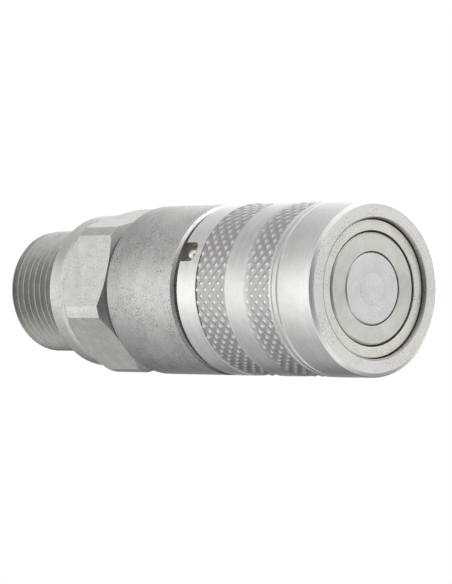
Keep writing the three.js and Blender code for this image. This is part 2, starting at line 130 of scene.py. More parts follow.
# Inner pieces.
CLOSED_COIL_PITCH = 2.15
SPRING_TURNS = 5.5
SPIDER_BORE_R = 3.2
SPIDER_HOLES = 6
SPIDER_HOLE_R = 2.3
SPIDER_HOLE_CIRCLE_R = 7.7
NUT_ACROSS_FLATS = 8
NUT_CHAMFER = 0.4
NUT_FACE_R = 4.0
STOP_RING_BORE_R = 14.1
STOP_RING_GAP = 4
FLAT_RING_BORE_R = {"nose_backup_ring": 12.6, "adapter_backup_ring": 12.6, "sleeve_spring_washer": 15.1}


# ---------------------------------------------------------------- mesh helpers

def span(node):
    """A node's lowest and highest x, and its radius, in millimetres."""
    low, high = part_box(node)
    return low.x / MM, high.x / MM, max(high.y, -low.y, high.z, -low.z) / MM


def centre(node):
    """The middle of a node's box, in millimetres."""
    low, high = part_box(node)
    return (low + high) / 2 / MM


def new_piece(name, verts, faces):
    """A new mesh object from corners in millimetres."""
    mesh = bpy.data.meshes.new(name)
    mesh.from_pydata([tuple(c * MM for c in v) for v in verts], [], faces)
    mesh.update()
    piece = bpy.data.objects.new(name, mesh)
    bpy.context.scene.collection.objects.link(piece)
    return piece


def outward(piece):
    """Turns every face of a closed piece outwards."""
    bm = bmesh.new()
    bm.from_mesh(piece.data)
    bmesh.ops.recalc_face_normals(bm, faces=bm.faces)
    if bm.calc_volume(signed=True) < 0:
        bmesh.ops.reverse_faces(bm, faces=bm.faces)
    bm.to_mesh(piece.data)
    bm.free()
    return piece


def fillet(section, radius=0.12, steps=3):
    """Rounds each corner of a closed section. A point may carry its own radius as a third value."""
    count = len(section)
    out = []
    for i in range(count):
        corner = np.array(section[i][:2], float)
        wanted = section[i][2] if len(section[i]) > 2 else radius
        before = np.array(section[i - 1][:2], float) - corner
        after = np.array(section[(i + 1) % count][:2], float) - corner
        len_before, len_after = np.linalg.norm(before), np.linalg.norm(after)
        before, after = before / len_before, after / len_after
        angle = math.acos(np.clip(before @ after, -1, 1))
        if wanted <= 0 or corner[1] <= 0 or angle > math.radians(176):
            out.append(tuple(corner))
            continue
        reach = min(wanted / math.tan(angle / 2), 0.45 * len_before, 0.45 * len_after)
        start, end = corner + before * reach, corner + after * reach
        for k in range(steps + 1):
            t = k / steps
            bend = (1 - t) ** 2 * start + 2 * t * (1 - t) * corner + t ** 2 * end
            out.append(tuple(bend))
    return out


def lathe(name, section, facets=FINE_FACETS, radius=0.12):
    """Revolves a closed section of (x, radius) corners about the X axis."""
    rows = fillet(section, radius)
    open_ended = rows[0][1] <= 0 and rows[-1][1] <= 0
    verts, ring_of = [], []
    for x, r in rows:
        if r <= 0:
            ring_of.append([len(verts)] * facets)
            verts.append((x, 0, 0))
            continue
        ring_of.append(list(range(len(verts), len(verts) + facets)))
        for j in range(facets):
            a = 2 * math.pi * j / facets
            verts.append((x, r * math.cos(a), r * math.sin(a)))
    faces = []
    pairs = list(zip(ring_of, ring_of[1:] + ring_of[:1]))
    if open_ended:
        pairs.pop()
    for one, two in pairs:
        for j in range(facets):
            n = (j + 1) % facets
            corners = [one[j], one[n], two[n], two[j]]
            faces.append(tuple(dict.fromkeys(corners)))
    return outward(new_piece(name, verts, faces))


def cut(piece, tool, operation="DIFFERENCE"):
    """Joins or cuts with another closed mesh, which is then removed."""
    step = piece.modifiers.new("cut", "BOOLEAN")
    step.object = tool
    step.operation = operation
    step.solver = "MANIFOLD"
    bpy.context.view_layer.update()
    depsgraph = bpy.context.evaluated_depsgraph_get()
    made = bpy.data.meshes.new_from_object(piece.evaluated_get(depsgraph), depsgraph=depsgraph)
    piece.modifiers.clear()
    piece.data = made
    bpy.data.objects.remove(tool)
    return piece


def smooth(piece, angle=30):
    """Smooth shading with sharp edges above an angle, and flats that stay flat."""
    bm = bmesh.new()
    bm.from_mesh(piece.data)
    limit = math.radians(angle)
    for face in bm.faces:
        face.smooth = True
    for edge in bm.edges:
        edge.smooth = edge.calc_face_angle(0.0) < limit
    bm.to_mesh(piece.data)
    bm.free()
    step = piece.modifiers.new("flats", "WEIGHTED_NORMAL")
    step.keep_sharp = True
    step.weight = 80
    return piece


def ring_groove(piece, x_from, x_to, r_from, r_to):
    """Cuts a square ring groove between two stations and two radii."""
    corners = [(x_from, r_from), (x_from, r_to), (x_to, r_to), (x_to, r_from)]
    cut(piece, lathe("tool", corners, radius=0))


def hex_bar(name, start, end, across, turn_deg):
    """A hexagonal bar along X."""
    corner = across / 2 / math.cos(math.pi / 6)
    verts = []
    for x in (start, end):
        for k in range(6):
            a = math.radians(180 - turn_deg + 60 * k)
            verts.append((x, corner * math.cos(a), corner * math.sin(a)))
    faces = [(0, 1, 2, 3, 4, 5), (11, 10, 9, 8, 7, 6)]
    faces += [(k, k + 6, (k + 1) % 6 + 6, (k + 1) % 6) for k in range(6)]
    return outward(new_piece(name, verts, faces))


def side_matrix(x, deg):
    """Turns a shape built up the -Y side to deg above it, and moves it along the axis."""
    return Matrix.Translation((x * MM, 0, 0)) @ Matrix.Rotation(-math.radians(deg), 4, "X")


def radial_plug(name, outline, x, deg, facets=32):
    """A turned plug whose axis is radial: outline holds (distance from the coupler's axis, radius)."""
    plug = lathe(name, outline, facets, 0)
    plug.data.transform(side_matrix(x, deg) @ Matrix.Rotation(-math.pi / 2, 4, "Z"))
    return plug


def ball(name, middle, radius, facets=40):
    """A ball, turned about its own X axis."""
    half = facets // 2
    angles = [math.pi * k / half for k in range(half + 1)]
    arc = [(radius * -math.cos(a), radius * math.sin(a)) for a in angles]
    arc[0], arc[-1] = (-radius, 0), (radius, 0)
    piece = lathe(name, arc, facets, 0)
    piece.data.transform(Matrix.Translation(Vector(middle) * MM))
    return piece


def helix(name, start, end, mean, wire, turns, sides=14, per_turn=40):
    """A coil spring with closed end coils."""
    dead = CLOSED_COIL_PITCH * wire
    first, last = start + wire, end - wire
    open_pitch = (last - first - 2 * dead) / (turns - 2)
    count = int(turns * per_turn)
    verts, faces = [], []
    for i in range(count + 1):
        t = turns * i / count
        if t < 1:
            x0 = first + dead * t
        elif t > turns - 1:
            x0 = last - dead * (turns - t)
        else:
            x0 = first + dead + open_pitch * (t - 1)
        a = 2 * math.pi * t
        for s in range(sides):
            b = 2 * math.pi * s / sides
            r = mean + wire * math.cos(b)
            verts.append((x0 + wire * math.sin(b), r * math.cos(a), r * math.sin(a)))
    for i in range(count):
        for s in range(sides):
            n = (s + 1) % sides
            faces.append((i * sides + s, i * sides + n, (i + 1) * sides + n, (i + 1) * sides + s))
    faces.append(tuple(range(sides)))
    faces.append(tuple(count * sides + s for s in reversed(range(sides))))
    return outward(new_piece(name, verts, faces))


def place(piece, body, node, material, angle=30):
    """Finishes a piece: shading, material, the body it rides on and the node it stands for."""
    smooth(piece, angle)
    piece.data.materials.clear()
    piece.data.materials.append(material)
    if body is not None:
        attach(piece, body)
    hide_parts(node)
    return piece


# ---------------------------------------------------------------- places along the axis

PORT_END, SPIGOT_TO, _ = span("port_adapter")
THREAD_TO = PORT_END + 17.9
COLLAR_FROM = PORT_END + 19.2
HEX_FROM = PORT_END + 23.6
HEX_TO = PORT_END + 38.7
NECK_TO = PORT_END + 41.1
# Painted shade: the rear part of the housing is darkened, where the key light falls off.
SHADED_HOUSING_REAR = (PORT_END + 41.3, PORT_END + 57.3)


# ---------------------------------------------------------------- materials

class Nodes:
    """Short calls for building one shader tree."""

    def __init__(self, tree):
        self.tree = tree
        self.tree.nodes.clear()

    def node(self, kind, inputs=None, **settings):
        made = self.tree.nodes.new(kind)
        for key, value in settings.items():
            setattr(made, key, value)
        for key, value in (inputs or {}).items():
            self.feed(made.inputs[key], value)
        return made

    def feed(self, socket, value):
        if isinstance(value, bpy.types.NodeSocket):
            self.tree.links.new(value, socket)
        else:
            socket.default_value = value

    def math(self, operation, *values):
        inputs = dict(enumerate(values))
        return self.node("ShaderNodeMath", inputs, operation=operation).outputs[0]

    def times(self, first, *others):
        """The product of two or more values."""
        for other in others:
            first = self.math("MULTIPLY", first, other)
        return first

    def scale(self, vector, factors):
        made = self.node("ShaderNodeVectorMath", {0: vector, 1: factors}, operation="MULTIPLY")
        return made.outputs[0]

    def noise(self, vector, scale, detail=3.0, rough=0.5, w=None):
        inputs = {"Vector": vector, "Scale": scale, "Detail": detail, "Roughness": rough}
        made = self.node("ShaderNodeTexNoise", noise_dimensions="3D" if w is None else "4D")
        if w is not None:
            inputs["W"] = w
        for key, value in inputs.items():
            self.feed(made.inputs[key], value)
        return made.outputs["Fac"]

    def ramp(self, value, low, high, to_low=0.0, to_high=1.0):
        """A smooth step from one value to another as the input goes from low to high."""
        inputs = {"Value": value, "From Min": low, "From Max": high}
        inputs.update({"To Min": to_low, "To Max": to_high})
        made = self.node("ShaderNodeMapRange", inputs)
        made.interpolation_type = "SMOOTHSTEP"
        return made.outputs[0]

    def swing(self, value, amount):
        """A factor that goes as far below 1 as above it, as a noise goes from low to high."""
        return self.ramp(value, 0.3, 0.7, 1 - amount, 1 + amount)

    def bump(self, height, strength, distance_mm):
        inputs = {"Strength": strength, "Distance": distance_mm * MM, "Height": height}
        return self.node("ShaderNodeBump", inputs).outputs[0]

    def surface(self, shader):
        self.node("ShaderNodeOutputMaterial", {"Surface": shader.outputs[0]})

    def tint(self, colour, factor):
        """Multiplies a colour by a value."""
        grey = self.node("ShaderNodeCombineColor", {0: factor, 1: factor, 2: factor}).outputs[0]
        made = self.node("ShaderNodeMix", data_type="RGBA", blend_type="MULTIPLY")
        self.feed(made.inputs[0], 1.0)
        self.feed(made.inputs[6], colour)
        self.feed(made.inputs[7], grey)
        return made.outputs[2]

    def mix(self, factor, one, two):
        made = self.node("ShaderNodeMix", data_type="RGBA")
        self.feed(made.inputs[0], factor)
        self.feed(made.inputs[6], one)
        self.feed(made.inputs[7], two)
        return made.outputs[2]


def new_material(name):
    """A material with an empty shader tree, and short calls for filling it."""
    material = bpy.data.materials.new(name)
    material.use_nodes = True
    return material, Nodes(material.node_tree)


def millimetres(n):
    """Object coordinates in millimetres, and the distance from the coupler's axis."""
    place_mm = n.scale(n.node("ShaderNodeTexCoord").outputs["Object"], (1000, 1000, 1000))
    parts = n.node("ShaderNodeSeparateXYZ", {0: place_mm}).outputs
    squares = [n.times(parts[k], parts[k]) for k in (1, 2)]
    return place_mm, parts, n.math("SQRT", n.math("ADD", *squares))


# What a mark on a metal is measured along.
ALONG_AXIS, RADIUS, AHEAD, EDGE_UP, HEX_UP = range(5)

EDGE_RADII = (15.2, 15.4)
EDGE_AHEAD = (0.45, 0.6)
HEX_START = (HEX_FROM - 0.1, HEX_FROM + 0.1)


def facing(n, x, radius):
    """How squarely an outer edge faces the coupling end, and how far it or the hexagon faces up."""
    towards = n.node("ShaderNodeTexCoord").outputs["Normal"]
    normal = n.node("ShaderNodeSeparateXYZ", {0: towards}).outputs
    ahead = n.times(normal[0], n.ramp(radius, *EDGE_RADII))
    edge_up = n.times(normal[2], n.ramp(ahead, *EDGE_AHEAD))
    hex_up = n.times(normal[2], n.ramp(x, *HEX_START))
    return ahead, edge_up, hex_up


# Noise scales, in features for each millimetre.
CLOUD_SCALE = 0.35
GRIT_SCALE = 4.2
CROWD_SCALE = 0.16
SPECK_SCALE = 3.1
FINE_SPECK_SCALE = 5.2
WARM_SCALE = 0.5

LINE_CONTRAST = 0.05
OXIDE_TINT = (1.0, 0.93, 0.74)


def turning_lines(n, spot, radius, per_mm):
    """Fine lines round the axis, as a lathe tool leaves them."""
    across = n.scale(spot, (per_mm, 0.03, 0.03))
    return n.noise(across, 1.0, 4.0, 0.6, n.times(radius, per_mm))


def dark_specks(n, spot, radius, zone):
    """Small dark specks that crowd together in places, with finer and longer ones among them."""
    crowd = n.ramp(n.noise(spot, CROWD_SCALE, 2.0, 0.5), 0.40, 0.58, 0.30, 1.0)
    coarse = n.ramp(n.noise(spot, SPECK_SCALE, 1.0, 0.5), 0.60, 0.67)
    longer = n.noise(n.scale(spot, (0.7, 1, 1)), FINE_SPECK_SCALE, 1.0, 0.5)
    fine = n.ramp(longer, 0.61, 0.67, 0.0, 0.75)
    specks = n.times(n.math("MAXIMUM", coarse, fine), crowd)
    return n.times(specks, n.ramp(radius, *zone)) if zone else specks


def marked(n, shade, parts, radius, marks):
    """Shades a metal by each of its marks."""
    measures = (parts[0], radius, *facing(n, parts[0], radius))
    for which, *limits in marks:
        shade = n.times(shade, n.ramp(measures[which], *limits))
    return shade


def warmed(n, base, colour, shade, spot, radius, warm, zone):
    """Mixes patches of a yellower oxide into a metal's colour."""
    patch = n.ramp(n.noise(spot, WARM_SCALE, 3.0, 0.6), 0.30, 0.70, 0.4 * warm, warm)
    patch = n.times(patch, n.ramp(radius, *zone))
    yellow = [part * tint for part, tint in zip(colour, OXIDE_TINT)]
    return n.mix(patch, base, n.tint((*yellow, 1), shade))


def steel(name, colour, rough, turned, *, mottle, sheen_lines, aniso, grain, grit=0.04,
          speckle=0.0, speck_zone=None, warm=0.0, warm_zone=(0, 1, 1, 1), marks=(), tone=False):
    """Satin metal: turning lines round the axis, cloudy patches, fine grit and small dark specks.

    A mark shades the metal from one value to another: (what it is measured along, low, high,
    shade at low, shade at high). A zone does the same along the radius, for specks or warmth.
    Most marks are painted shade or painted highlights; the stem's marks are its scribed ring.
    """
    material, n = new_material(name)
    spot, parts, radius = millimetres(n)
    lines = turning_lines(n, spot, radius, sheen_lines)
    clouds = n.noise(spot, CLOUD_SCALE, 3.0, 0.6)
    fine = n.noise(spot, GRIT_SCALE, 3.0, 0.7)
    specks = n.times(dark_specks(n, spot, radius, speck_zone), speckle)
    shade = n.times(n.swing(lines, LINE_CONTRAST * turned), n.swing(clouds, mottle))
    shade = n.times(shade, n.swing(fine, grit), n.math("SUBTRACT", 1.0, specks))
    shade = marked(n, shade, parts, radius, marks)
    # The sleeve's painted shade and highlights, stored on its mesh.
    if tone:
        painted = n.node("ShaderNodeAttribute", attribute_name="tone").outputs["Fac"]
        shade = n.times(shade, painted)
    base = n.tint((*colour, 1), shade)
    if warm:
        base = warmed(n, base, colour, shade, spot, radius, warm, warm_zone)
    roughness = n.ramp(lines, 0.2, 0.8, rough - 0.05, rough + 0.06)
    roughness = n.math("ADD", roughness, n.ramp(fine, 0.3, 0.7, -0.04, 0.05))
    relief = n.math("ADD", n.times(lines, turned), n.times(fine, grain))
    tangent = n.node("ShaderNodeTangent", direction_type="RADIAL", axis="X").outputs[0]
    n.surface(n.node("ShaderNodeBsdfPrincipled", {
        "Base Color": base, "Metallic": 1.0, "Roughness": roughness, "Normal": n.bump(relief, 0.6, 0.012),
        "Anisotropic": aniso, "Anisotropic Rotation": 0.25, "Tangent": tangent,
    }))
    return material


def rubber(name):
    """Matt seal rubber with a fine grain and paler dust."""
    material, n = new_material(name)
    spot = millimetres(n)[0]
    grain = n.noise(spot, 9.0, 3.0, 0.6)
    dust = n.ramp(n.noise(spot, 0.9, 3.0, 0.6), 0.5, 0.8, 0.0, 0.35)
    base = n.mix(dust, (0.02, 0.02, 0.021, 1), (0.09, 0.09, 0.085, 1))
    rough = n.ramp(grain, 0.3, 0.7, 0.62, 0.78)
    n.surface(n.node("ShaderNodeBsdfPrincipled", {
        "Base Color": base, "Roughness": rough, "Normal": n.bump(grain, 0.4, 0.03),
    }))
    return material


def plastic(name):
    """Waxy white back-up ring plastic."""
    material, n = new_material(name)
    spot = millimetres(n)[0]
    clouds = n.ramp(n.noise(spot, 0.8, 3.0, 0.6), 0.35, 0.7, 0.0, 0.4)
    base = n.mix(clouds, (0.80, 0.78, 0.70, 1), (0.70, 0.67, 0.58, 1))
    grain = n.noise(spot, 6.0, 2.0, 0.5)
    n.surface(n.node("ShaderNodeBsdfPrincipled", {
        "Base Color": base, "Roughness": n.ramp(grain, 0.3, 0.7, 0.42, 0.55),
        "Normal": n.bump(grain, 0.3, 0.02), "Subsurface Weight": 0.1, "Subsurface Scale": 1.0 * MM,
    }))
    return material


HOUSING = steel(
    "zinc_housing", (0.68, 0.675, 0.65), 0.40, 0.5, mottle=0.055, sheen_lines=2.2, aniso=0.2, grain=1.4,
    grit=0.10, speckle=0.62,
    # Painted shade: darker over the rear of the housing, and darker still inside radius 17, on the guide
    # land that shows in shade through the sleeve's notch.
    marks=((ALONG_AXIS, *SHADED_HOUSING_REAR, 0.80, 1.0), (RADIUS, 16.9, 17.1, 0.42, 1.0),
           # Painted shade on the front chamfer and face, more on its lower side, and a painted highlight on
           # its upper side.
           (AHEAD, *EDGE_AHEAD, 1.0, 0.92), (EDGE_UP, -0.5, -0.1, 0.42, 1.0),
           (EDGE_UP, 0.2, 0.6, 1.0, 1.6)))
ADAPTER = steel(
    "zinc_adapter", (0.80, 0.795, 0.77), 0.40, 0.5, mottle=0.06, sheen_lines=2.2, aniso=0.3, grain=1.2,
    grit=0.09, speckle=0.30, warm=0.10,
    # Darker behind the collar: partly the thread's own darker metal, partly painted shade in the relief and
    # on the collar's rear face.
    marks=((ALONG_AXIS, COLLAR_FROM - 0.02, COLLAR_FROM + 0.03, 0.72, 1.0),
           # Painted shadow over the first turn of the thread at the port end.
           (ALONG_AXIS, PORT_END + 0.3, PORT_END + 2.5, 0.62, 1.0),
           (ALONG_AXIS, HEX_FROM - 0.3, HEX_FROM, 0.90, 1.0),
           # Painted shade on the hexagon's front chamfer, in the narrow gap by the housing, and on the
           # faces of the hexagon that look up.
           (AHEAD, 0.6, 0.75, 1.0, 0.58), (HEX_UP, 0.5, 0.65, 1.0, 0.86)))
SLEEVE = steel(
    "turned_sleeve", (0.82, 0.805, 0.78), 0.34, 1.0, mottle=0.035, sheen_lines=3.4, aniso=0.6, grain=0.4,
    grit=0.035, speckle=0.45, speck_zone=(18.0, 18.4, 1.0, 0.15), tone=True,
    # Painted shade along the lip and its bore, in the dark gap by the nose.
    marks=((RADIUS, 15.34, 15.40, 0.55, 1.0), (AHEAD, 0.75, 0.85, 1.0, 1.14),
           # With the mark before it, a painted highlight on the front chamfer; the flat face is left as it
           # was.
           (AHEAD, 0.93, 0.98, 1.0, 0.877)))
NOSE = steel(
    "warm_nose", (0.82, 0.81, 0.77), 0.38, 0.8, mottle=0.04, sheen_lines=3.0, aniso=0.4, grain=0.5,
    grit=0.05, speckle=0.45, warm=0.60, warm_zone=(13.2, 14.2, 0.15, 1.0))
VALVE = steel(
    "turned_valve", (0.745, 0.728, 0.695), 0.38, 0.8, mottle=0.06, sheen_lines=3.0, aniso=0.8, grain=0.5,
    speckle=0.10, warm=0.10)
STEM = steel(
    "faced_stem", (0.77, 0.765, 0.755), 0.38, 0.5, mottle=0.04, sheen_lines=3.0, aniso=0.3, grain=0.6,
    grit=0.06, speckle=0.30,
    marks=((RADIUS, STEM_RING_R - 0.2, STEM_RING_R - 0.05, 1.0, 0.90),
           (RADIUS, STEM_RING_R, STEM_RING_R + 0.15, 1.0, 1.11)))
BEARING = steel(
    "bearing_ball", (0.88, 0.86, 0.82), 0.10, 0.1, mottle=0.02, sheen_lines=1.0, aniso=0.0, grain=0.0,
    grit=0.02)
LOCK_BALL = steel(
    "straw_ball", (0.86, 0.78, 0.62), 0.14, 0.1, mottle=0.04, sheen_lines=1.0, aniso=0.0, grain=0.0,
    grit=0.02)
WIRE = steel(
    "spring_wire", (0.42, 0.43, 0.44), 0.32, 0.3, mottle=0.06, sheen_lines=2.0, aniso=0.2, grain=0.3,
    speckle=0.05)
INNER = steel(
    "inner_steel", (0.58, 0.58, 0.57), 0.38, 0.9, mottle=0.05, sheen_lines=3.0, aniso=0.4, grain=0.4,
    speckle=0.05)
RUBBER = rubber("seal_rubber")
PTFE = plastic("backup_plastic")


# ---------------------------------------------------------------- sleeve

SLEEVE_REAR, SLEEVE_FACE, BODY_R = span("locking_sleeve")
TIP_R = BODY_R - 0.05
REAR_KNURL = (SLEEVE_REAR + 6.2, SLEEVE_REAR + 15.8)
FRONT_KNURL = (SLEEVE_REAR + 21.3, SLEEVE_REAR + 29.8)
KNURL_FADE = 2.2
KNURL_PITCH = 2.70
KNURL_TIP = 0.88
KNURL_POWER = 1.6
KNURL_EDGE = 0.03
GROOVE_DEPTH = 0.35
# Painted highlight on the front band, rising towards the face.
FRONT_HIGHLIGHT_FROM = -5.0
FRONT_HIGHLIGHT = 0.12
REAR_LAND_TONE = 1.13
# Painted shade in the knurl grooves and painted highlights on the diamonds' tips.
KNURL_GROOVE_SHADE = -0.35
KNURL_SHADE_SPAN = 0.68


def knurl_height(x, angle):
    """0 in the bottom of a knurl groove, 1 on the small flat of a diamond."""
    along = x / KNURL_PITCH
    round_it = KNURL_COUNT * angle / (2 * np.pi)
    one = np.mod(along + round_it, 1.0)
    two = np.mod(along - round_it, 1.0)
    from_grooves = 2 * np.minimum(np.minimum(one, 1 - one), np.minimum(two, 1 - two))
    return (np.minimum(from_grooves, KNURL_TIP) / KNURL_TIP) ** KNURL_POWER


def knurl_amount(x):
    """How deep the knurl is cut at x, from 0 to 1."""
    rear = (x > REAR_KNURL[0] + 0.02) & (x < REAR_KNURL[1] - 0.02)
    fade = np.clip((x - FRONT_KNURL[0]) / KNURL_FADE, 0, 1)
    front = (x > FRONT_KNURL[0]) & (x < FRONT_KNURL[1] - 0.02)
    return np.where(rear, 1.0, np.where(front, fade, 0.0))


def sleeve_section():
    """The outside from rear to front, then the face and the stepped bore back to the rear."""
    ball_x = centre("locking_ball_01").x
    ramp_top = ball_x + (SLEEVE_RECESS_R - BALL_RAMP_R) / BALL_DROP
    spring_wall = SLEEVE_REAR + 29.2
    edge, face, groove_r = FRONT_KNURL[1], SLEEVE_FACE, BODY_R - GROOVE_DEPTH
    knurled = [
        (SLEEVE_REAR, SLEEVE_BORE_R, 0.3), (SLEEVE_REAR, BODY_R, 0.25),
        (REAR_KNURL[0], BODY_R, 0.06), (REAR_KNURL[0] + KNURL_EDGE, TIP_R, 0.0),
        (REAR_KNURL[1] - KNURL_EDGE, TIP_R, 0.0), (REAR_KNURL[1], BODY_R, 0.06),
        (FRONT_KNURL[0], TIP_R, 0.3), (edge - KNURL_EDGE, TIP_R, 0.0), (edge, TIP_R, 0.0),
    ]
    two_grooves = [
        (edge + 0.65, TIP_R + 0.02, 0.12), (edge + 0.75, groove_r, 0.05), (edge + 0.95, groove_r, 0.05),
        (edge + 1.0, BODY_R - 0.04, 0.08), (edge + 2.22, BODY_R - 0.02, 0.08),
        (edge + 2.35, groove_r, 0.05), (edge + 2.75, groove_r, 0.05), (edge + 2.85, BODY_R, 0.15),
    ]
    front_band = [
        (face - 5.5, BODY_R, 1.0), (face - 0.5, BODY_R - 0.04, 0.25), (face, BODY_R - 1.0, 0.2),
        (face, SLEEVE_LIP_R + SLEEVE_LIP_CHAMFER, 0.05), (face - SLEEVE_LIP_CHAMFER, SLEEVE_LIP_R, 0.05),
    ]
    bore = [
        (-0.55, SLEEVE_LIP_R, 0.1), (-2.0, SLEEVE_RECESS_R, 0.2), (ramp_top, SLEEVE_RECESS_R, 0.2),
        (ball_x - 4.67, SLEEVE_LAND_R, 0.1), (spring_wall, SLEEVE_LAND_R, 0.1),
        (spring_wall, SLEEVE_BORE_R, 0.2),
    ]
    return knurled + two_grooves + front_band + bore


def with_knurl_rows(rows):
    """Adds rows at the knurl's own spacing wherever the outside is knurled."""
    step = KNURL_PITCH / KNURL_STEPS
    least = 0.02
    out = []
    for (xa, ra), (xb, rb) in zip(rows, rows[1:] + rows[:1]):
        out.append((xa, ra))
        middle = (xa + xb) / 2
        outside = min(ra, rb) > TIP_R - 0.01 and xb - xa > 2 * step
        if outside and knurl_amount(np.array([middle]))[0] > 0:
            first = math.floor(xa / step) + 1
            for k in range(first, math.ceil(xb / step)):
                x = k * step
                if xa + least < x < xb - least:
                    out.append((x, ra + (rb - ra) * (x - xa) / (xb - xa)))
    return out


def split_quad(quad, radii, wanted):
    """Two triangles, split along the diagonal whose middle lies nearer to the wanted radius."""
    a, b, c, d = quad
    if abs((radii[0] + radii[2]) / 2 - wanted) <= abs((radii[1] + radii[3]) / 2 - wanted):
        return [(a, b, c), (a, c, d)]
    return [(a, b, d), (b, c, d)]


def sleeve_mesh(name):
    """The whole sleeve as one grid of rows and columns, with real knurl diamonds."""
    rows = np.array(with_knurl_rows(fillet(sleeve_section(), 0.1)))
    count, columns = len(rows), KNURL_COUNT * KNURL_STEPS
    angles = 2 * np.pi * np.arange(columns) / columns
    x = np.repeat(rows[:, 0:1], columns, 1)
    angle = np.repeat(angles[None, :], count, 0)
    cut_in = np.where(rows[:, 1:2] > TIP_R - 0.01, knurl_amount(x), 0.0)
    radius = rows[:, 1:2] - KNURL_DEPTH * cut_in * (1 - knurl_height(x, angle))
    verts = np.stack([x, radius * np.cos(angle), radius * np.sin(angle)], -1).reshape(-1, 3)
    faces = []
    for i in range(count):
        k = (i + 1) % count
        depth = KNURL_DEPTH * (cut_in[i, 0] + cut_in[k, 0]) / 2
        height = knurl_height((rows[i, 0] + rows[k, 0]) / 2, angles + math.pi / columns)
        wanted = (rows[i, 1] + rows[k, 1]) / 2 - depth * (1 - height)
        for j in range(columns):
            n = (j + 1) % columns
            quad = (i * columns + j, k * columns + j, k * columns + n, i * columns + n)
            radii = (radius[i, j], radius[k, j], radius[k, n], radius[i, n])
            faces += split_quad(quad, radii, wanted[j]) if depth > 0 else [quad]
    return outward(new_piece(name, verts.tolist(), faces))


def notch_tool():
    """The sleeve's notch as a rounded slot, open to the rear."""
    inner_r, outer_r, steps = 13.0, 21.0, 8
    rear, middle = SLEEVE_REAR - 2 * CUT_PAST, SLEEVE_REAR + NOTCH_DEPTH - NOTCH_CORNER_R
    straight = NOTCH_HALF_WIDTH - NOTCH_CORNER_R
    plan = [(rear, -NOTCH_HALF_WIDTH)]
    for side, start in ((-straight, -math.pi / 2), (straight, 0.0)):
        for k in range(steps + 1):
            a = start + math.pi / 2 * k / steps
            plan.append((middle + NOTCH_CORNER_R * math.cos(a), side + NOTCH_CORNER_R * math.sin(a)))
    plan.append((rear, NOTCH_HALF_WIDTH))
    count = len(plan)
    verts = [(x, -r, z) for r in (inner_r, outer_r) for x, z in plan]
    faces = [tuple(range(count)), tuple(reversed(range(count, 2 * count)))]
    faces += [(k, k + count, (k + 1) % count + count, (k + 1) % count) for k in range(count)]
    tool = outward(new_piece("notch_tool", verts, faces))
    tool.data.transform(side_matrix(0, NOTCH_DEG))
    return tool


def paint_shade_and_highlights(piece):
    """Stores the sleeve's painted shade and highlights: painted shade in the knurl grooves, painted
    highlights on the tips and the front band, and a lighter rear land.
    """
    co = np.zeros(len(piece.data.vertices) * 3)
    piece.data.vertices.foreach_get("co", co)
    x, y, z = (co.reshape(-1, 3) / MM).T
    radius = np.hypot(y, z)
    amount = np.where(radius > TIP_R - KNURL_DEPTH - 0.05, knurl_amount(x), 0.0)
    height = knurl_height(x, np.arctan2(z, y))
    knurl_shading = 1 + amount * (KNURL_GROOVE_SHADE + KNURL_SHADE_SPAN * height ** 3)
    tone = np.where(amount > 0, knurl_shading, 1.0)
    front_band = (radius > TIP_R) & (x > FRONT_HIGHLIGHT_FROM)
    tone = np.where(front_band, 1 + FRONT_HIGHLIGHT * np.clip(x - FRONT_HIGHLIGHT_FROM, 0, 1), tone)
    rear_land = (radius > TIP_R) & (x < REAR_KNURL[0] + 0.01)
    tone = np.where(rear_land, REAR_LAND_TONE, tone)
    layer = piece.data.attributes.new("tone", "FLOAT", "POINT")
    layer.data.foreach_set("value", tone.astype(np.float32))


def make_sleeve():
    """The locking sleeve, knurled, notched, and given its painted shade and highlights."""
    piece = sleeve_mesh("locking_sleeve_surface")
    cut(piece, notch_tool())
    paint_shade_and_highlights(piece)
    place(piece, "sleeve", "locking_sleeve", SLEEVE, 24)


# ---------------------------------------------------------------- rear housing, nose and valve

def height_deg(point):
    """How far above the -Y side a point lies, in degrees round the axis."""
    return math.degrees(math.atan2(point.z, -point.y))


def make_housing():
    """The plain barrel, with the land that guides the sleeve and the seat of the lock ball."""
    rear, land_to, outer = span("rear_housing")
    front = SLEEVE_REAR - HOUSING_TO_SLEEVE
    section = [
        (rear, HOUSING_BORE_R, 0.2), (rear, outer, 0.45), (front - HOUSING_CHAMFER, outer, 0.1),
        (front, outer - HOUSING_CHAMFER, 0.1), (front, GUIDE_R, 0.2), (land_to, GUIDE_R, 0.3),
        (land_to, HOUSING_BORE_R, 0.2),
    ]
    piece = lathe("rear_housing_surface", section)
    seal = centre("body_o_ring").x
    ring_groove(piece, seal - 1.1, seal + 1.1, HOUSING_BORE_R - CUT_PAST, HOUSING_SEAL_R)
    at = centre("sleeve_lock_ball")
    seat = [(LOCK_BALL_SEAT_FLOOR, 0), (LOCK_BALL_SEAT_FLOOR, LOCK_BALL_SEAT_R), (outer, LOCK_BALL_SEAT_R),
            (outer, 0)]
    cut(piece, radial_plug("tool", seat, at.x, height_deg(at)))
    place(piece, "coupler_body", "rear_housing", HOUSING)


